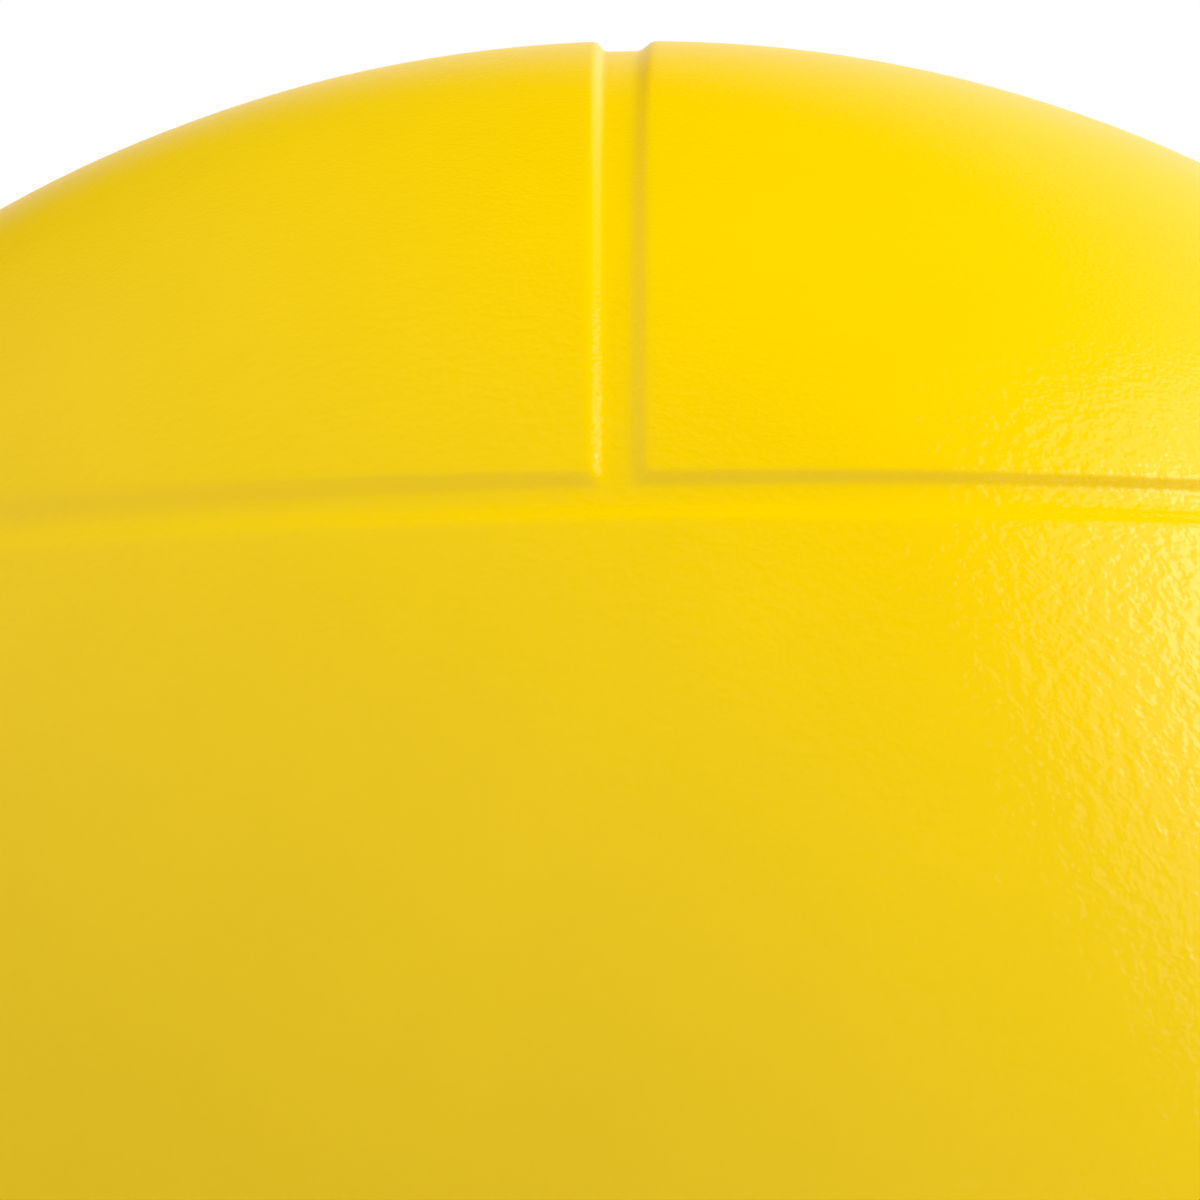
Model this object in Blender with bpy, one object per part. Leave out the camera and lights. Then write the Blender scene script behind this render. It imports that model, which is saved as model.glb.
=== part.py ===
"""Foam volleyball: a moulded foam core inside a sprayed skin with sunken panel grooves.

The ball's centre is the origin, +Z is up and -Y faces the viewer. Sizes are in metres.
Twelve panels, two on each side of a cube blown up to a ball, are parted by flat-bottomed grooves.
"""
import math

import bmesh
import bpy
from mathutils import Matrix, Vector

# Driving dimensions
BALL_DIAMETER = 0.210
GROOVE_WIDTH = 0.0046  # between the edges of two panels
GROOVE_FLOOR_WIDTH = 0.0032
GROOVE_DEPTH = 0.0008
SKIN_THICKNESS = 0.0008
BOND_GAP = 0.0003  # stands for the bond between the skin and the foam
PINHOLE_DIAMETER = 0.002
CELLS = 14  # mesh cells along each edge of a cube side, even so that a row ends at its middle
PINHOLE_SIDES = 16

# Worked out from them
BALL_RADIUS = BALL_DIAMETER / 2
EDGE_PLANE = 1 / math.sqrt(3)  # a cube side's edges lie in planes this share of the radius from the centre
EDGE_CIRCLE = math.sqrt(1 - EDGE_PLANE**2)  # radius of the circle in which such a plane cuts the unit ball
EDGE_HALF_ANGLE = math.pi / 4  # an edge is a quarter of its circle
WALL_RUN = (GROOVE_WIDTH - GROOVE_FLOOR_WIDTH) / 2
WALL_ANGLE = math.atan2(GROOVE_DEPTH, WALL_RUN)
CORE_INSET = SKIN_THICKNESS + BOND_GAP

# The pinhole is in the middle of a panel underneath, where it shows least. This is its place on the cube
PINHOLE_ON_CUBE = Vector((0.5, 0, -1))

# Finishes: colour, roughness, metallic
SKIN_FINISH = ((0.90, 0.60, 0.01, 1.0), 0.42, 0.0)
FOAM_FINISH = ((0.82, 0.72, 0.42, 1.0), 0.95, 0.0)


def remove_scene_objects():
    for thing in list(bpy.data.objects):
        bpy.data.objects.remove(thing, do_unlink=True)


def cube_axes(point):
    """The axis that a point of a cube's side faces, the one across its two panels and the one along them."""
    facing = max(range(3), key=lambda axis: abs(point[axis]))
    return facing, (facing + 1) % 3, (facing + 2) % 3


def blown_up(point):
    """A point of the cube with corners at (+-1, +-1, +-1), moved to the unit ball. Each row of points along
    the panels becomes an arc in a flat plane, evenly stepped, so every panel edge is a circle's arc too."""
    facing, across, along = cube_axes(point)
    ball = Vector((0, 0, 0))
    ball[across] = EDGE_CIRCLE * math.sin(point[across] * EDGE_HALF_ANGLE)
    row_circle = math.sqrt(1 - ball[across] ** 2)
    row_half_angle = math.acos(EDGE_PLANE / row_circle)
    ball[along] = row_circle * math.sin(point[along] * row_half_angle)
    ball[facing] = math.copysign(row_circle * math.cos(point[along] * row_half_angle), point[facing])
    return ball


def panel_name(face):
    """Which of the twelve panels a face of the cube belongs to."""
    middle = face.calc_center_median()
    facing, across, _ = cube_axes(middle)
    return facing, middle[facing] > 0, middle[across] > 0


def grooved_ball(inset):
    """A closed mesh of the grooved ball, everywhere the given distance inside the skin's outer face."""
    bm = bmesh.new()
    bmesh.ops.create_cube(bm, size=2)
    bmesh.ops.subdivide_edges(bm, edges=bm.edges[:], cuts=CELLS - 1, use_grid_fill=True)
    panels = {}
    for face in bm.faces:
        panels.setdefault(panel_name(face), []).append(face)
    for vert in bm.verts:
        vert.co = blown_up(vert.co) * BALL_RADIUS

    # Going in, a groove gets wider by as much as its slanted walls move aside
    half_floor = GROOVE_FLOOR_WIDTH / 2 + inset * math.tan(WALL_ANGLE / 2)
    for faces in panels.values():
        bmesh.ops.inset_region(bm, faces=faces, thickness=half_floor, use_even_offset=True)
        bmesh.ops.inset_region(bm, faces=faces, thickness=WALL_RUN, use_even_offset=True)

    raised = {vert for faces in panels.values() for face in faces for vert in face.verts}
    for vert in bm.verts:
        depth = inset if vert in raised else inset + GROOVE_DEPTH
        vert.co = vert.co.normalized() * (BALL_RADIUS - depth)
    bm.normal_update()
    return bm


def finish(name, colour, roughness, metallic):
    material = bpy.data.materials.new(name)
    material.use_nodes = True
    shader = material.node_tree.nodes["Principled BSDF"]
    shader.inputs["Base Color"].default_value = colour
    shader.inputs["Roughness"].default_value = roughness
    shader.inputs["Metallic"].default_value = metallic
    material.diffuse_color = colour
    return material


def add_object(name, bm, material=None):
    mesh = bpy.data.meshes.new(name)
    bm.to_mesh(mesh)
    bm.free()
    thing = bpy.data.objects.new(name, mesh)
    bpy.context.scene.collection.objects.link(thing)
    if material:
        mesh.materials.append(material)
        mesh.shade_smooth()
        mesh.set_sharp_from_angle(angle=math.radians(30))
    return thing


def add_pinhole_cutter():
    """A pin through the skin, along a radius."""
    bm = bmesh.new()
    outwards = blown_up(PINHOLE_ON_CUBE)
    turn = outwards.to_track_quat("Z", "Y").to_matrix().to_4x4()
    place = Matrix.Translation(outwards * (BALL_RADIUS - SKIN_THICKNESS / 2)) @ turn
    bmesh.ops.create_cone(
        bm,
        cap_ends=True,
        segments=PINHOLE_SIDES,
        radius1=PINHOLE_DIAMETER / 2,
        radius2=PINHOLE_DIAMETER / 2,
        depth=4 * SKIN_THICKNESS,
        matrix=place,
    )
    cutter = add_object("pinhole_cutter", bm)
    cutter.hide_render = True
    cutter.display_type = "WIRE"
    return cutter


def add_skin():
    """The coat: an outer face, an inner face turned to look inwards, and the pinhole that joins them."""
    inner = grooved_ball(SKIN_THICKNESS)
    bmesh.ops.reverse_faces(inner, faces=inner.faces[:])
    inner_mesh = bpy.data.meshes.new("skin_inner_face")
    inner.to_mesh(inner_mesh)
    inner.free()
    coat = grooved_ball(0)
    coat.from_mesh(inner_mesh)
    bpy.data.meshes.remove(inner_mesh)
    skin = add_object("skin", coat, finish("sprayed_skin", *SKIN_FINISH))
    hole = skin.modifiers.new("pinhole", "BOOLEAN")
    hole.operation = "DIFFERENCE"
    hole.object = add_pinhole_cutter()
    return skin


def add_foam_core():
    """The solid foam ball that fills the skin, with the same grooves moulded in."""
    return add_object("foam_core", grooved_ball(CORE_INSET), finish("moulded_foam", *FOAM_FINISH))


def main():
    remove_scene_objects()
    ball = bpy.data.objects.new("foam_volleyball", None)
    bpy.context.scene.collection.objects.link(ball)
    for piece in (add_skin(), add_foam_core()):
        piece.parent = ball


main()
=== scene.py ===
# %% [markdown]
# # A foam volleyball
# The real ball is one solid moulding of flexible polyurethane foam. Its twelve panels are only raised
# areas of that moulding, parted by shallow, flat-bottomed grooves, and a coat of yellow polyurethane was
# sprayed over panels and grooves alike. So the ball needs two pieces, the foam and the coat. What makes
# it look real is the way the coat rounds the panels' edges and fills the grooves unevenly, its fine
# orange-peel grain, and a large soft light to show all of that.
#
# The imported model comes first. It fixes the size and the place of both pieces, and nothing below moves
# it.

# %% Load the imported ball
import math

import bmesh
import bpy
import numpy as np
from mathutils import Matrix, Vector, noise


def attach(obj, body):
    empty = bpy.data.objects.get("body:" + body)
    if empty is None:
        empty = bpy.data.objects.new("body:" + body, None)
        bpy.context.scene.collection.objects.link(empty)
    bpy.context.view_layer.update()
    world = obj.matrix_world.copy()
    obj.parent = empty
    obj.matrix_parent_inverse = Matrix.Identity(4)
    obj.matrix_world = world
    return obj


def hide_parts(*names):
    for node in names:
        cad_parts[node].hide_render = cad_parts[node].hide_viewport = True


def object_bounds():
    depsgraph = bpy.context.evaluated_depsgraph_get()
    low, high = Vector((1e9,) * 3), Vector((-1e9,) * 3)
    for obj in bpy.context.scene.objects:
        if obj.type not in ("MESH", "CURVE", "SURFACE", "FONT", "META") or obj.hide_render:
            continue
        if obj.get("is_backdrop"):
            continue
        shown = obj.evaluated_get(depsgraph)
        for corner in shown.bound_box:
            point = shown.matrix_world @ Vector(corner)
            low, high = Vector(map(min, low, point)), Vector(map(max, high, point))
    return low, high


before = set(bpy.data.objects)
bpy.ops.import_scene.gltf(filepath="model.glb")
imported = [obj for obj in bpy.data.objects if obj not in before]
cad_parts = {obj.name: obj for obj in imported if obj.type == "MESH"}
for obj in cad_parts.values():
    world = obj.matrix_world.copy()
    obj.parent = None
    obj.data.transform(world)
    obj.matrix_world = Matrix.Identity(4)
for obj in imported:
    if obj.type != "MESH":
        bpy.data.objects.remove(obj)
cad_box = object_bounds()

MM = 0.001
BALL_RADIUS = max(vertex.co.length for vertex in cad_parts["skin"].data.vertices)
print(f"The packed ball is {2 * BALL_RADIUS / MM:.1f} mm across")

# %% [markdown]
# ## Where the grooves run
# The panels of a volleyball come from a cube that was blown up to a ball. Each of the cube's sides
# carries two panels side by side, and they lie square to those of the next side, so that the groove
# between them ends in a T. On the ball each groove follows a flat circle: one through the middle of a
# side, and one along each of its edges.
#
# A subdivided cube with bevelled edges would give the layout quickly, but its lines would drift off those
# circles. Here the lines of each side are worked out as latitudes, so they run exactly beside the
# grooves. They lie close together where the coat bends and far apart on the plain panels.

# %% Lines of the mesh
EDGE_LATITUDE = math.asin(1 / math.sqrt(3))  # of a side's edge, seen from the circle through its middle
FIRST_BENT_LINE = 0.7 * MM  # from the middle of a groove
LAST_BENT_LINE = 3.3 * MM  # from here on the panel is plain
BENT_LINE_COUNT = 18
BENT_LINES = np.linspace(FIRST_BENT_LINE, LAST_BENT_LINE, BENT_LINE_COUNT)
SOME_BENT_LINES = [*BENT_LINES[::6], LAST_BENT_LINE]  # enough where nobody looks


def lines_over_side(bent_lines, cells_between):
    """Latitudes of the lines over one side, edge to edge, given the distances of those beside a groove."""
    near_middle = np.array([0, *bent_lines]) / BALL_RADIUS
    near_edge = EDGE_LATITUDE - near_middle[::-1]
    between = np.linspace(near_middle[-1], near_edge[0], cells_between + 1)[1:-1]
    half = np.concatenate([near_middle, between, near_edge])
    return np.concatenate([-half[:0:-1], half])


fine_lines = lines_over_side(BENT_LINES, cells_between=24)
plain_lines = lines_over_side(SOME_BENT_LINES, cells_between=10)
print(f"The coat's outside has {len(fine_lines)} lines each way on a side, its inside {len(plain_lines)}")

# %% [markdown]
# ## One side of the ball
# A point of a side is known by two latitudes: how far it lies from the circle through the side's middle,
# and how far from the two ends of the panels. Both give a distance to the nearest groove. A soft minimum
# of these distances rounds the panels' corners in plan, as the coat does. On the real ball the groove
# between a side's two panels gets deeper away from its ends, so the same two latitudes also say how deep
# it is.

# %% Points of a side
CORNER_SOFTNESS = 0.35 * MM
DEEPENS_OVER = 0.78  # of the way from a groove's end to its middle


def side_of_ball(lines):
    """Unit vectors over one side, as their parts facing outwards, across the panels and along them."""
    across = np.sin(lines)[:, None] * np.ones(len(lines))
    row_radius = np.cos(lines)[:, None]
    from_end = EDGE_LATITUDE - np.abs(lines)
    ring = np.minimum(from_end, LAST_BENT_LINE / BALL_RADIUS)  # this near an end, lines run beside it
    reach = np.sqrt(row_radius**2 - np.sin(EDGE_LATITUDE + ring) ** 2)
    along = reach * np.sin(lines) / np.sin(EDGE_LATITUDE - ring)
    along[[0, -1]] = np.sin(lines)  # the outer rows meet the next side's lines
    facing = np.sqrt(1 - across**2 - along**2)
    return facing, across, along


def distance_to_groove(facing, across):
    """Distance from the middle line of the nearest groove, and how deep that groove is, from 0 to 1."""
    latitude = np.abs(np.arcsin(across))
    from_end = np.arcsin(facing) - EDGE_LATITUDE
    deepening = np.clip(from_end / (DEEPENS_OVER * (math.pi / 2 - EDGE_LATITUDE)), 0, 1) ** 2
    deepening[latitude > EDGE_LATITUDE / 2] = 0
    distances = BALL_RADIUS * np.stack([latitude, EDGE_LATITUDE - latitude, from_end])
    return -CORNER_SOFTNESS * np.logaddexp.reduce(-distances / CORNER_SOFTNESS), deepening


plain_side = [part.ravel() for part in side_of_ball(plain_lines)]
farthest = distance_to_groove(*plain_side[:2])[0].max()
print(f"The middle of a panel lies {farthest / MM:.1f} mm from the nearest groove")

# %% [markdown]
# ## How the wet coat lay in the grooves
# A sprayed coat flows before it sets. It is thicker against the walls that face up and against one wall
# of each deep groove, which makes them gentler. At one spot at the front left it ran together: there the
# groove is shallow, its bends are soft, and the wall that hangs over it has sagged across the floor.
#
# A fluid simulation would be slow and hard to steer. Two amounts from 0 to 1, the pooling and the flood,
# describe the result instead, and they need no more than a point's place on the ball.

# %% Pooling and flood
POOLS_ABOVE = 0.27  # a wall this many radii above its panel's middle holds the most
POOLS_IN_DEEP_GROOVE = 0.8
FLOOD_TOWARDS = Vector((-0.5, -0.645, 0.577))  # from the ball's centre, in radii
FLOOD_REACH = 0.92  # in radii


def pooled(outwards, across, deepening, axis, sign):
    """How much the coat pooled near each point of the side that faces along the axis."""
    panel_middle = np.zeros_like(outwards)
    panel_middle[:, axis] = sign * np.cos(EDGE_LATITUDE / 2)
    panel_middle[:, (axis + 1) % 3] = np.sin(EDGE_LATITUDE / 2) * np.sign(across)
    on_top = np.clip((outwards - panel_middle)[:, 2] / POOLS_ABOVE, 0, 1)
    return np.maximum(on_top, POOLS_IN_DEEP_GROOVE * deepening * (across > 0))


def flooded(outwards):
    """How much the coat ran together near each point."""
    away = np.linalg.norm(outwards - np.array(FLOOD_TOWARDS), axis=1)
    return np.clip(1 - away / FLOOD_REACH, 0, 1)


print(f"The flood ends {FLOOD_REACH * BALL_RADIUS / MM:.0f} mm from its middle")

# %% [markdown]
# ## How far the coat sinks
# Seen in section, a groove is a flat floor, a slanted wall and the panel. Two soft bends turn a plain
# ramp into a wall that eases out of the floor and rolls over into the panel. A bevel modifier could round
# the bends, but with the same width everywhere. In a formula each of them can follow the flood and the
# pooling.

# %% Section of a groove
# The first of each pair holds along a side's edges and at the Ts, the second halfway between two Ts
WALL_FROM_MIDDLE = (1.66 * MM, 1.86 * MM)  # to halfway up a wall
GROOVE_DEPTH = (0.66 * MM, 0.85 * MM)
WALL_RUN = (0.66 * MM, 0.46 * MM)
BEND_SOFTNESS = (0.1 * MM, 0.07 * MM)

# What a full flood, a full sag or full pooling adds to these, or takes away, as a share
FLOOD_FILLS = 0.4
FLOOD_SOFTENS = 1.1
SAG_CREEPS = 0.32
SAG_STRETCHES = 3.5
POOLING_STRETCHES = 1.3


def sunk(distance, deepening, flood, pooling, inset):
    """How far the surface lies below the ball. Going in, the floor widens as the walls move aside."""
    sagging = flood**2 * (1 - pooling)
    middle = np.interp(deepening, (0, 1), WALL_FROM_MIDDLE) * (1 - SAG_CREEPS * sagging)
    depth = np.interp(deepening, (0, 1), GROOVE_DEPTH) * (1 - FLOOD_FILLS * flood)
    stretch = 1 + SAG_STRETCHES * sagging + POOLING_STRETCHES * pooling
    run = np.interp(deepening, (0, 1), WALL_RUN) * stretch
    softness = np.interp(deepening, (0, 1), BEND_SOFTNESS) * (1 + FLOOD_SOFTENS * flood) * (1 + pooling)
    middle = middle + inset * np.tan(np.arctan2(depth, run) / 2)
    foot = softness * np.logaddexp(0, (distance - middle + run / 2) / softness)
    brow = softness * np.logaddexp(0, (distance - middle - run / 2) / softness)
    start = softness * np.logaddexp(0, (run / 2 - middle) / softness)  # so both walls meet at full depth
    return inset + depth * (1 - (foot - brow - start) / (run - start))


for title, deepening in (("at a T", 0), ("halfway between two Ts", 1)):
    print(f"A groove {title} is {sunk(0, deepening, flood=0, pooling=0, inset=0) / MM:.2f} mm deep")

# %% [markdown]
# ## Six sides make a ball
# The six sides differ only in which axis they face, so one loop places them all and the shared rows of
# points are merged. No hand-sprayed foam is perfect: the panels swell by a few hundredths of a millimetre
# and the edges wander a little. Smooth noise, which gives the same value at the same place each time,
# adds both.

# %% Build grooved balls
SWELL = 0.035 * MM
SWELL_LENGTH = 14 * MM
WANDER = 0.07 * MM
WANDER_LENGTH = 7 * MM
MERGE_DISTANCE = 0.03 * MM  # the rows that two sides share lie closer together than this


def unevenness(points, length):
    """Smooth noise from -1 to 1 at each point, that changes over about the given length."""
    return np.array([noise.noise(Vector(point) / length) for point in points])


def grooved_ball(lines, inset, hand_made):
    """A closed mesh of the whole grooved ball, the given distance inside the coat's outer face."""
    facing, across, along = (part.ravel() for part in side_of_ball(lines))
    distance, deepening = distance_to_groove(facing, across)
    count = len(lines)
    corner = np.arange(count * count).reshape(count, count)
    cells = np.stack([corner[:-1, :-1], corner[1:, :-1], corner[1:, 1:], corner[:-1, 1:]], axis=-1)
    points = []
    faces = []
    for axis in range(3):
        for sign in (1, -1):
            outwards = np.roll(np.stack([sign * facing, across, along], axis=1), axis, axis=1)
            waver = WANDER * unevenness(outwards * BALL_RADIUS, WANDER_LENGTH) if hand_made else 0
            swell = SWELL * unevenness(outwards * BALL_RADIUS, SWELL_LENGTH) if hand_made else 0
            pooling = pooled(outwards, across, deepening, axis, sign)
            depth = sunk(distance + waver, deepening, flooded(outwards), pooling, inset)
            radius = BALL_RADIUS - depth + swell
            faces.append(cells.reshape(-1, 4)[:, ::sign] + count * count * len(points))
            points.append(outwards * radius[:, None])
    mesh = bpy.data.meshes.new("grooved_ball")
    mesh.from_pydata(np.concatenate(points).tolist(), [], np.concatenate(faces).tolist())
    ball = bmesh.new()
    ball.from_mesh(mesh)
    bpy.data.meshes.remove(mesh)
    bmesh.ops.remove_doubles(ball, verts=ball.verts[:], dist=MERGE_DISTANCE)
    return ball


print(f"Panels swell by up to {SWELL / MM} mm, and their edges wander by up to {WANDER / MM} mm")

# %% [markdown]
# ## A pin for the pinhole
# A pinhole under the ball lets it breathe. It is cut with a pin that flares out at the surface, because
# the sprayed coat has drawn back from the rim, and a plain cylinder would leave a knife edge there. The
# pin is made as on a lathe: rings of points follow a profile, and faces join each ring to the next.

# %% Make the pin
SKIN_THICKNESS = 0.8 * MM
PINHOLE_RADIUS = 1.0 * MM
PINHOLE_FLARE = 0.25 * MM
PINHOLE_SIDES = 32
FLARE_RINGS = 6
PINHOLE_LATITUDE = math.asin(math.sqrt(2 / 3) * math.sin(math.pi / 8))  # halfway across a panel underneath


def add_piece(name, form):
    """A smooth object from a finished mesh."""
    mesh = bpy.data.meshes.new(name)
    form.to_mesh(mesh)
    form.free()
    mesh.shade_smooth()
    piece = bpy.data.objects.new(name, mesh)
    bpy.context.scene.collection.objects.link(piece)
    return piece


def out_from_centre(direction, distance):
    """A place this far from the ball's centre, with its Z axis along the direction."""
    turn = direction.to_track_quat("Z", "Y").to_matrix().to_4x4()
    return Matrix.Translation(direction * distance) @ turn


def add_pin():
    """A pin along a radius through the coat."""
    profile = [(PINHOLE_RADIUS, -2 * SKIN_THICKNESS)]
    for turn in np.linspace(0, math.pi / 2, FLARE_RINGS):
        radius = PINHOLE_RADIUS + PINHOLE_FLARE - PINHOLE_FLARE * math.cos(turn)
        profile.append((radius, PINHOLE_FLARE * math.sin(turn) - PINHOLE_FLARE))
    profile.append((PINHOLE_RADIUS + 2 * PINHOLE_FLARE, SKIN_THICKNESS))
    form = bmesh.new()
    rings = []
    for radius, height in profile:
        lift = Matrix.Translation((0, 0, height))
        ring = bmesh.ops.create_circle(form, segments=PINHOLE_SIDES, radius=radius, matrix=lift)
        rings.append(ring["verts"])
    for low, high in zip(rings, rings[1:]):
        for side in range(PINHOLE_SIDES):
            after = (side + 1) % PINHOLE_SIDES
            form.faces.new((low[side], low[after], high[after], high[side]))
    form.faces.new(rings[0][::-1])
    form.faces.new(rings[-1])
    bmesh.ops.recalc_face_normals(form, faces=form.faces[:])
    return add_piece("pin", form)


pin = add_pin()
pin_outwards = Vector((math.sin(PINHOLE_LATITUDE), 0, -math.cos(PINHOLE_LATITUDE)))
pin.matrix_world = out_from_centre(pin_outwards, BALL_RADIUS)
print(f"The pin makes a hole of {2 * PINHOLE_RADIUS / MM} mm")

# %% [markdown]
# ## The coat
# The coat is a closed shell: its outer face, and an inner face turned to look inwards. A solidify
# modifier could make the inner face, but it would copy all the fine lines to where nobody looks, so a
# plainer ball does it. Then a Boolean takes the pin away from the shell.

# %% Make the coat
SHARP_BEND = math.radians(40)  # edges that bend more aren't shaded smooth

inner_face = grooved_ball(plain_lines, SKIN_THICKNESS, hand_made=False)
bmesh.ops.reverse_faces(inner_face, faces=inner_face.faces[:])
inner_mesh = bpy.data.meshes.new("inner_face")
inner_face.to_mesh(inner_mesh)
inner_face.free()
coat = grooved_ball(fine_lines, 0, hand_made=True)
coat.from_mesh(inner_mesh)
bpy.data.meshes.remove(inner_mesh)
satin_skin = add_piece("satin_skin", coat)

cut = satin_skin.modifiers.new("pinhole", "BOOLEAN")
cut.object = pin
cut.solver = "MANIFOLD"
bpy.context.view_layer.update()
pierced = bpy.data.meshes.new_from_object(satin_skin.evaluated_get(bpy.context.evaluated_depsgraph_get()))
satin_skin.modifiers.clear()
satin_skin.data = pierced
bpy.data.objects.remove(pin)
satin_skin.data.set_sharp_from_angle(angle=SHARP_BEND)
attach(satin_skin, "root")
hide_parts("skin")
print(f"The coat has {len(satin_skin.data.polygons)} faces")

# %% [markdown]
# ## The foam
# The foam is the same ball again, smaller by the coat and by a hair of room for the bond. It shows only
# at the bottom of the pinhole, so it takes the plainer lines.

# %% Make the foam ball
BOND_GAP = 0.3 * MM

foam_ball = add_piece("foam_ball", grooved_ball(plain_lines, SKIN_THICKNESS + BOND_GAP, hand_made=False))
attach(foam_ball, "root")
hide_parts("foam_core")
print(f"The foam has {len(foam_ball.data.polygons)} faces")

# %% [markdown]
# ## Colours and nodes
# Colours are written as the hex values that a screen shows, and one function turns them into the linear
# light that shaders work with. One more small function adds a node: its settings are attributes, and each
# input gets either a value or another node's output.

# %% Helpers for materials


def colour(hex_value):
    """An sRGB colour such as FFCC00 as linear red, green, blue and alpha."""
    shown = [int(hex_value[start : start + 2], 16) / 255 for start in (0, 2, 4)]
    return [part / 12.92 if part <= 0.04045 else ((part + 0.055) / 1.055) ** 2.4 for part in shown] + [1.0]


def add_node(tree, kind, inputs=None, **settings):
    """A new node with these settings. Its inputs, by name or number, are values or other nodes' outputs."""
    node = tree.nodes.new(kind)
    for name, value in settings.items():
        setattr(node, name, value)
    for name, value in (inputs or {}).items():
        if isinstance(value, bpy.types.NodeSocket):
            tree.links.new(value, node.inputs[name])
        else:
            node.inputs[name].default_value = value
    return node


def new_material(name):
    """An empty material, its node tree and its output node."""
    material = bpy.data.materials.new(name)
    material.use_nodes = True
    material.node_tree.nodes.clear()
    return material, material.node_tree, add_node(material.node_tree, "ShaderNodeOutputMaterial")


print(f"A screen's middle grey, 808080, is {colour('808080')[0]:.3f} of white in linear light")

# %% [markdown]
# ## Sprayed polyurethane: its grain
# Polyurethane is sprayed on the foam in several thin passes and flows out to a satin film. It never flows
# quite flat: it dries in waves about a millimetre long, like orange peel, with a finer grit on them. Each
# wave catches the light on its own, so the edge of a reflection breaks up into small marks.
#
# Real geometry for this would take millions of faces, so bump maps draw it. Real waves hide one another
# at a glancing view. A bump map can't do that, and it would draw streaks beside the ball's outline. So
# the waves fade out there, and only the grit stays.

# %% Grain of the coat
PEEL_SIZE = 1.1 * MM
PEEL_HEIGHT = 0.112 * MM
GRIT_SIZE = 0.38 * MM
GRIT_HEIGHT = 0.0254 * MM
WAVES_FADE_FROM = 0.33  # of the way from a square view, which is 0, to a glancing one, which is 1
WAVES_FADE_TO = 0.5
WAVES_LEFT = 0.12

skin_material, tree, output = new_material("sprayed_polyurethane_satin")
place = add_node(tree, "ShaderNodeTexCoord").outputs["Object"]
glancing = add_node(tree, "ShaderNodeLayerWeight", {"Blend": 0.5}).outputs["Facing"]
peel = add_node(
    tree,
    "ShaderNodeTexNoise",
    {"Vector": place, "Scale": 1 / PEEL_SIZE, "Detail": 1.0, "Roughness": 0.45},
).outputs["Fac"]
grit = add_node(
    tree, "ShaderNodeTexNoise", {"Vector": place, "Scale": 1 / GRIT_SIZE, "Detail": 0.0}
).outputs["Fac"]
fading = add_node(
    tree,
    "ShaderNodeMapRange",
    {
        "Value": glancing,
        "From Min": WAVES_FADE_FROM,
        "From Max": WAVES_FADE_TO,
        "To Min": 1.0,
        "To Max": WAVES_LEFT,
    },
)
waves = add_node(
    tree,
    "ShaderNodeBump",
    {"Strength": fading.outputs["Result"], "Height": peel, "Distance": PEEL_HEIGHT},
)
film_grain = add_node(
    tree,
    "ShaderNodeBump",
    {"Height": grit, "Distance": GRIT_HEIGHT, "Normal": waves.outputs["Normal"]},
)
print(f"Grain of the coat: waves of {PEEL_SIZE / MM:.2f} mm and grit of {GRIT_SIZE / MM:.2f} mm")

# %% [markdown]
# ## Sprayed polyurethane: pigment and film
# Two layers make the look. The pigment is strong, matt and even, with clouds that hardly show, and it
# gives the eye the colour. A clear film over it gives all of the gloss. In the Principled shader that is
# a base without a highlight of its own, and a coat that carries the grain. Beside the ball's outline the
# film's roughness takes some of the gloss, so the coat gets weaker there.

# %% Material of the coat
PIGMENT_GRAIN_HEIGHT = 0.1 * PEEL_HEIGHT  # the film levels out most of the waves
CLOUD_SIZE = 12 * MM
NOISE_LOW = 0.3  # the noise seldom goes below this, or above the next
NOISE_HIGH = 0.7
DARKEST_CLOUD = 0.988
PALEST_CLOUD = 1.008
GLOSS_FADE_FROM = 0.55  # of the way from a square view to a glancing one
GLOSS_FADE_TO = 0.8
GLOSS_LEFT = 0.65

pigment_grain = add_node(tree, "ShaderNodeBump", {"Height": peel, "Distance": PIGMENT_GRAIN_HEIGHT})
clouds = add_node(
    tree, "ShaderNodeTexNoise", {"Vector": place, "Scale": 1 / CLOUD_SIZE, "Detail": 3.0}
).outputs["Fac"]
shade = add_node(
    tree,
    "ShaderNodeMapRange",
    {
        "Value": clouds,
        "From Min": NOISE_LOW,
        "From Max": NOISE_HIGH,
        "To Min": DARKEST_CLOUD,
        "To Max": PALEST_CLOUD,
    },
)
pigment = add_node(
    tree, "ShaderNodeHueSaturation", {"Color": colour("F8D000"), "Value": shade.outputs["Result"]}
)
gloss = add_node(
    tree,
    "ShaderNodeMapRange",
    {
        "Value": glancing,
        "From Min": GLOSS_FADE_FROM,
        "From Max": GLOSS_FADE_TO,
        "To Min": 1.0,
        "To Max": GLOSS_LEFT,
    },
)
film = add_node(
    tree,
    "ShaderNodeBsdfPrincipled",
    {
        "Base Color": pigment.outputs["Color"],
        "Roughness": 0.6,
        "Specular IOR Level": 0.0,
        "Normal": pigment_grain.outputs["Normal"],
        "Coat Weight": gloss.outputs["Result"],
        "Coat Roughness": 0.15,
        "Coat IOR": 1.54,  # of polyurethane
        "Coat Normal": film_grain.outputs["Normal"],
    },
)
tree.links.new(film.outputs["BSDF"], output.inputs["Surface"])
satin_skin.data.materials.clear()
satin_skin.data.materials.append(skin_material)
print(f"{skin_material.name} has {len(tree.nodes)} nodes")

# %% [markdown]
# ## Moulded foam
# Flexible foam is a froth of open cells about half a millimetre wide. Broken cell walls catch no
# highlight at all, so it looks dull and soft. Its colour has painted shade: pale on the walls and darker
# down in the cells. Voronoi noise is made of such cells, and its distance from a cell's middle gives both
# the painted shade and the relief.

# %% Material of the foam
CELL_SIZE = 0.6 * MM
CELL_DEPTH = 0.3 * MM
CELL_EDGE = 0.7  # distance from a cell's middle to its walls, in cells
# Painted shade: the foam's colour is darkened down in a cell and lightened on its walls
PAINTED_SHADE_IN_CELL = 0.6
PAINTED_LIGHT_ON_WALL = 1.05

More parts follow.
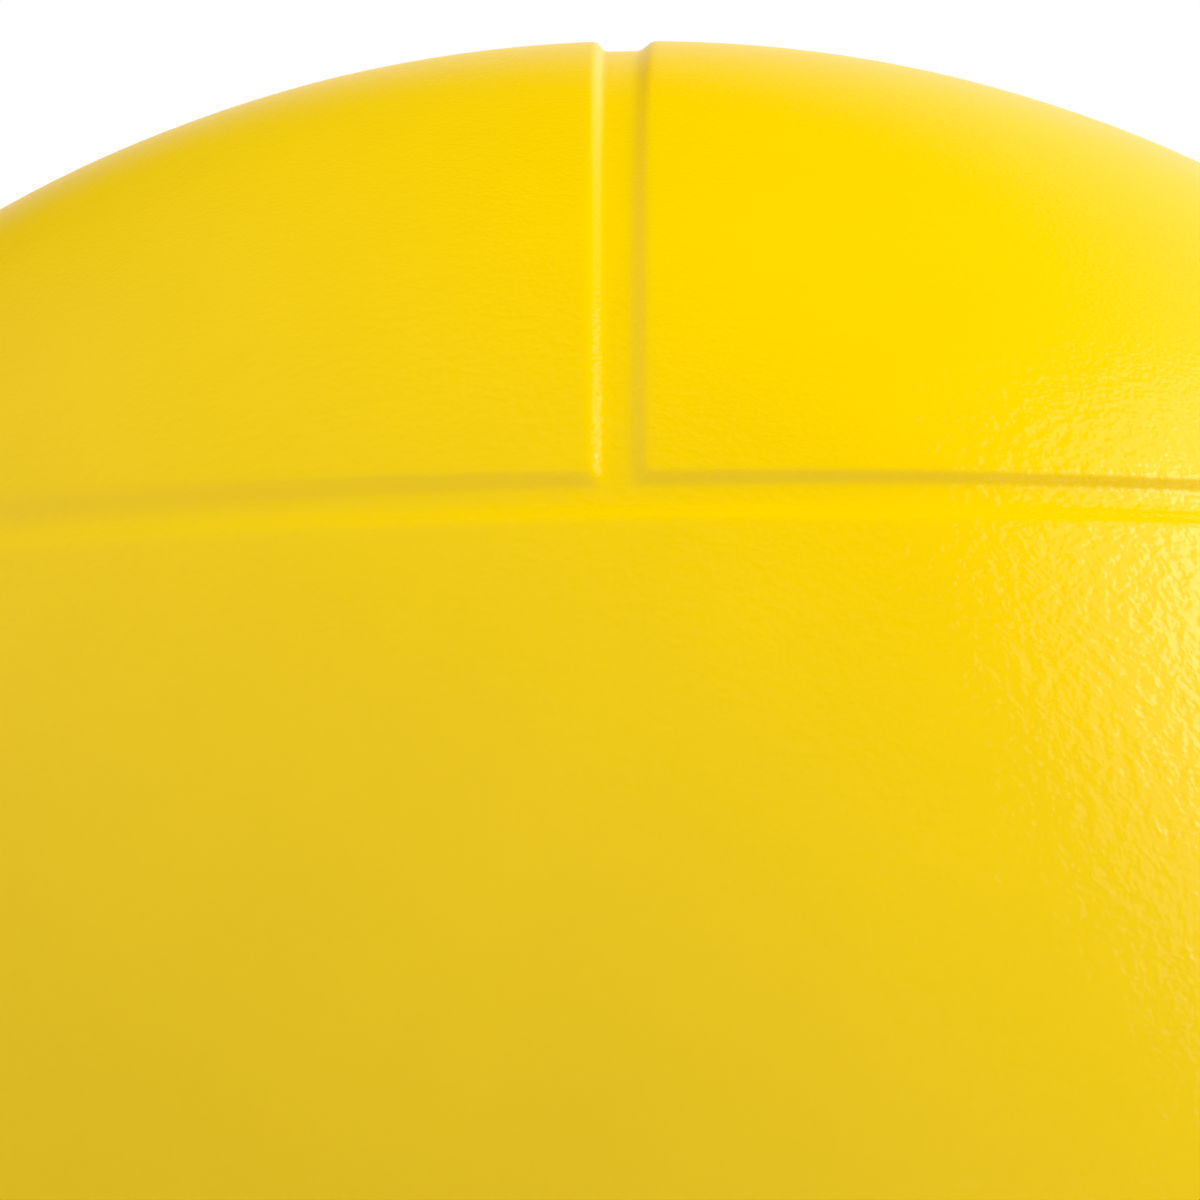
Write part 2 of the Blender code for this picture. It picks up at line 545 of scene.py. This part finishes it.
foam_material, tree, output = new_material("moulded_polyurethane_foam")
place = add_node(tree, "ShaderNodeTexCoord").outputs["Object"]
cells = add_node(
    tree, "ShaderNodeTexVoronoi", {"Vector": place, "Scale": 1 / CELL_SIZE}
).outputs["Distance"]
# Painted shade of the cells, from the distance to a cell's middle
painted_cell_shade = add_node(
    tree,
    "ShaderNodeMapRange",
    {
        "Value": cells,
        "From Min": 0.0,
        "From Max": CELL_EDGE,
        "To Min": PAINTED_SHADE_IN_CELL,
        "To Max": PAINTED_LIGHT_ON_WALL,
    },
)
foam_colour_and_painted_shade = add_node(
    tree, "ShaderNodeHueSaturation", {"Color": colour("EBDDA8"), "Value": painted_cell_shade.outputs["Result"]}
)
cell_bump = add_node(tree, "ShaderNodeBump", {"Height": cells, "Distance": CELL_DEPTH})
froth = add_node(
    tree,
    "ShaderNodeBsdfPrincipled",
    {
        "Base Color": foam_colour_and_painted_shade.outputs["Color"],
        "Roughness": 0.95,
        "Specular IOR Level": 0.2,
        "Normal": cell_bump.outputs["Normal"],
    },
)
tree.links.new(froth.outputs["BSDF"], output.inputs["Surface"])
foam_ball.data.materials.clear()
foam_ball.data.materials.append(foam_material)
print(f"Cells of the foam: {CELL_SIZE / MM} mm")

# %% [markdown]
# ## The floor
# A photographer would stand the ball on a wide sheet of matt white paper. A large disc does that here. It
# fades to plain white far from the ball, so no horizon shows, and near the ball it keeps the shadow. From
# below it is clear, so that the underside can be looked at.

# %% Lay the floor
FLOOR_RADIUS = 20.0  # in metres
FLOOR_SIDES = 96
FADE_FROM = 1.0  # from under the ball, in metres too
FADE_TO = 5.0
FIBRE_SIZE = 2 * MM  # real fibres are too fine to show, so these are coarser
FIBRE_HEIGHT = 0.05 * MM

disc = bmesh.new()
bmesh.ops.create_circle(disc, cap_ends=True, segments=FLOOR_SIDES, radius=FLOOR_RADIUS)
floor = add_piece("paper_floor", disc)
floor.location.z = cad_box[0].z
floor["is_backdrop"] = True

paper_material, tree, output = new_material("matt_paper")
place = add_node(tree, "ShaderNodeTexCoord").outputs["Object"]
reach = add_node(tree, "ShaderNodeVectorMath", {0: place}, operation="LENGTH").outputs["Value"]
fade = add_node(
    tree,
    "ShaderNodeMapRange",
    {"Value": reach, "From Min": FADE_FROM, "From Max": FADE_TO},
    interpolation_type="SMOOTHSTEP",
)
fibres = add_node(tree, "ShaderNodeTexNoise", {"Vector": place, "Scale": 1 / FIBRE_SIZE, "Detail": 3.0})
fibre_bump = add_node(tree, "ShaderNodeBump", {"Height": fibres.outputs["Fac"], "Distance": FIBRE_HEIGHT})
sheet = add_node(
    tree,
    "ShaderNodeBsdfPrincipled",
    {"Base Color": colour("BEBEBC"), "Roughness": 0.9, "Normal": fibre_bump.outputs["Normal"]},
)
far_white = add_node(tree, "ShaderNodeEmission", {"Color": colour("FFFFFF"), "Strength": 1.0})
seen_above = add_node(
    tree,
    "ShaderNodeMixShader",
    {0: fade.outputs["Result"], 1: sheet.outputs["BSDF"], 2: far_white.outputs["Emission"]},
)
underside = add_node(tree, "ShaderNodeNewGeometry").outputs["Backfacing"]
clear = add_node(tree, "ShaderNodeBsdfTransparent")
both_sides = add_node(
    tree, "ShaderNodeMixShader", {0: underside, 1: seen_above.outputs["Shader"], 2: clear.outputs["BSDF"]}
)
tree.links.new(both_sides.outputs["Shader"], output.inputs["Surface"])
floor.data.materials.append(paper_material)
print(f"The floor lies at {floor.location.z / MM:.1f} mm")

# %% [markdown]
# ## The lamps
# A large round diffuser stands to the right of the ball and leans over it, and a lamp head shines
# brightly in the middle of it. Their reflection is the broad pale patch on the right, and they pick out
# every groove wall that faces them. A wide, soft ceiling light fills in the rest. A sun lamp with a large
# angle does that with even shading and little noise, and it is hidden from reflections, where a white
# ceiling would veil the colour.

# %% Hang the lamps
CEILING = 1.1  # of white, on a white sheet that faces it
CEILING_ANGLE = math.radians(150)
# Distances are in metres, half angles in degrees, and a radiance of 1 is white
DIFFUSER = {"towards": (0.866, 0.008, 0.5), "distance": 2.1, "half_angle": 35.0, "radiance": 0.62}
LAMP_HEAD = {"towards": (0.824, 0.026, 0.569), "distance": 2.0, "half_angle": 22.0, "radiance": 2.1}

ceiling = bpy.data.lights.new("ceiling", "SUN")
ceiling.angle = CEILING_ANGLE
ceiling.energy = CEILING * math.pi
ceiling.cycles.use_multiple_importance_sampling = False  # only needed where a light is reflected
overhead = bpy.data.objects.new("ceiling", ceiling)
overhead.visible_glossy = False
bpy.context.scene.collection.objects.link(overhead)


def add_round_lamp(name, towards, distance, half_angle, radiance):
    """A round lamp that looks at the ball and fills the given angle seen from there."""
    lamp = bpy.data.lights.new(name, "AREA")
    lamp.shape = "DISK"
    lamp.size = 2 * distance * math.tan(math.radians(half_angle))
    area = math.pi * lamp.size**2 / 4
    lamp.energy = radiance * math.pi * area
    stand = bpy.data.objects.new(name, lamp)
    bpy.context.scene.collection.objects.link(stand)
    stand.visible_camera = False
    stand.matrix_world = out_from_centre(Vector(towards).normalized(), distance)
    return lamp


diffuser = add_round_lamp("diffuser", **DIFFUSER)
lamp_head = add_round_lamp("lamp_head", **LAMP_HEAD)
print(f"The diffuser gives {diffuser.energy:.1f} W, the lamp in front of it {lamp_head.energy:.1f} W")

# %% [markdown]
# ## What the coat reflects
# The camera sees plain white all round. A satin coat would turn milky if it reflected that, so
# reflections see a studio instead, and the Light Path node tells the two kinds of rays apart. In front is
# a grey room that gets dark towards a corner high on the right. White paper hangs behind the ball, and
# its slanting upper edge ends overhead. Its reflection is the pale rim along the top of the ball.

# %% Surround the ball
ROOM = 0.45
DARK_CORNER = Vector((0.6, 0.4, 0.69))
GLOOM_FROM = 0.05  # cosine of the angle to the dark corner
GLOOM_TO = 0.75
ROOM_ENDS_FROM = 0.3  # how far back a reflection looks, from 0 for sideways to 1 for straight back
ROOM_ENDS_TO = 1.1
PAPER = 0.78
PAPER_UPWARDS = Vector((-0.75, 0.0, 1.0))
PAPER_ENDS_FROM = 0.15  # height along the paper
PAPER_ENDS_TO = 0.58
PAPER_STARTS_TO = 0.4  # how far back

world = bpy.data.worlds.new("studio")
bpy.context.scene.world = world
world.use_nodes = True
tree = world.node_tree
tree.nodes.clear()
towards = add_node(tree, "ShaderNodeTexCoord").outputs["Generated"]
backwards = add_node(tree, "ShaderNodeSeparateXYZ", {"Vector": towards}).outputs["Y"]
gloom = add_node(tree, "ShaderNodeVectorMath", {0: towards, 1: DARK_CORNER}, operation="DOT_PRODUCT")
room = add_node(
    tree,
    "ShaderNodeMapRange",
    {
        "Value": gloom.outputs["Value"],
        "From Min": GLOOM_FROM,
        "From Max": GLOOM_TO,
        "To Min": ROOM,
        "To Max": 0.0,
    },
)
in_front = add_node(
    tree,
    "ShaderNodeMapRange",
    {
        "Value": backwards,
        "From Min": ROOM_ENDS_FROM,
        "From Max": ROOM_ENDS_TO,
        "To Min": 1.0,
        "To Max": 0.0,
    },
    interpolation_type="SMOOTHSTEP",
)
walls = add_node(
    tree, "ShaderNodeMath", {0: room.outputs["Result"], 1: in_front.outputs["Result"]}, operation="MULTIPLY"
)
height = add_node(tree, "ShaderNodeVectorMath", {0: towards, 1: PAPER_UPWARDS}, operation="DOT_PRODUCT")
paper = add_node(
    tree,
    "ShaderNodeMapRange",
    {
        "Value": height.outputs["Value"],
        "From Min": PAPER_ENDS_FROM,
        "From Max": PAPER_ENDS_TO,
        "To Min": PAPER,
        "To Max": 0.0,
    },
)
behind = add_node(
    tree,
    "ShaderNodeMapRange",
    {"Value": backwards, "From Min": 0.0, "From Max": PAPER_STARTS_TO},
    interpolation_type="SMOOTHSTEP",
)
reflected = add_node(
    tree,
    "ShaderNodeMath",
    {0: paper.outputs["Result"], 1: behind.outputs["Result"], 2: walls.outputs["Value"]},
    operation="MULTIPLY_ADD",
)
print(f"Reflections see a room of {ROOM} and paper of {PAPER}, where white is 1")

# %% [markdown]
# ## Which rays see what
# A camera ray, also one that passes through the floor's clear underside, meets white. A reflected ray
# meets the studio, and all other rays meet nothing, because the lamps give all the light.

# %% Tell the rays apart
ray = add_node(tree, "ShaderNodeLightPath").outputs
looked_at = add_node(
    tree, "ShaderNodeMath", {0: ray["Is Camera Ray"], 1: ray["Is Transmission Ray"]}, operation="ADD"
)
mirrored = add_node(
    tree, "ShaderNodeMath", {0: ray["Is Glossy Ray"], 1: reflected.outputs["Value"]}, operation="MULTIPLY"
)
strength = add_node(
    tree, "ShaderNodeMix", {"Factor": looked_at.outputs["Value"], "A": mirrored.outputs["Value"], "B": 1.0}
)
background = add_node(
    tree, "ShaderNodeBackground", {"Color": colour("FFFFFF"), "Strength": strength.outputs["Result"]}
)
add_node(tree, "ShaderNodeOutputWorld", {"Surface": background.outputs["Background"]})
print(f"The studio has {len(tree.nodes)} nodes")

# %% [markdown]
# ## The camera
# The picture shows only the upper part of the ball, large and almost without perspective: a long lens,
# about a metre away, a little below the ball's middle and tilted up. The ball itself lies slightly
# turned. The turn is undone on the camera instead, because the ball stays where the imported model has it.

# %% Set up the camera
VIEW_DISTANCE = 10 * BALL_RADIUS
LENS = 394.1  # in millimetres
SENSOR_WIDTH = 36  # in millimetres too
BALL_YAW = math.radians(-0.73)
BALL_PITCH = math.radians(-2.12)
BALL_ROLL = math.radians(-0.87)
AIM_LEFT = math.radians(0.199)
AIM_UP = math.radians(3.301)

ball_turn = Matrix.Rotation(BALL_ROLL, 3, "Y") @ Matrix.Rotation(BALL_PITCH, 3, "X")
ball_turn = ball_turn @ Matrix.Rotation(BALL_YAW, 3, "Z")
aim = Matrix.Rotation(AIM_LEFT, 3, "Z") @ Matrix.Rotation(AIM_UP, 3, "X")
level = Matrix.Rotation(math.pi / 2, 3, "X")

lens = bpy.data.cameras.new("camera")
lens.lens = LENS
lens.sensor_width = SENSOR_WIDTH
camera = bpy.data.objects.new("camera", lens)
bpy.context.scene.collection.objects.link(camera)
stance = ball_turn.transposed() @ Vector((0, -VIEW_DISTANCE, 0))
camera.matrix_world = Matrix.Translation(stance) @ (ball_turn.transposed() @ aim @ level).to_4x4()
bpy.context.scene.camera = camera
bpy.context.scene.view_settings.view_transform = "Standard"
print("The camera stands at", [round(part / MM) for part in camera.location], "mm")

# %% Compare the boxes
dressed_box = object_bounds()
boxes = {
    "cad": [list(corner) for corner in cad_box],
    "visual": [list(corner) for corner in dressed_box],
}
for name, (low, high) in boxes.items():
    print(name, "box in mm:", [round((b - a) / MM, 2) for a, b in zip(low, high)])
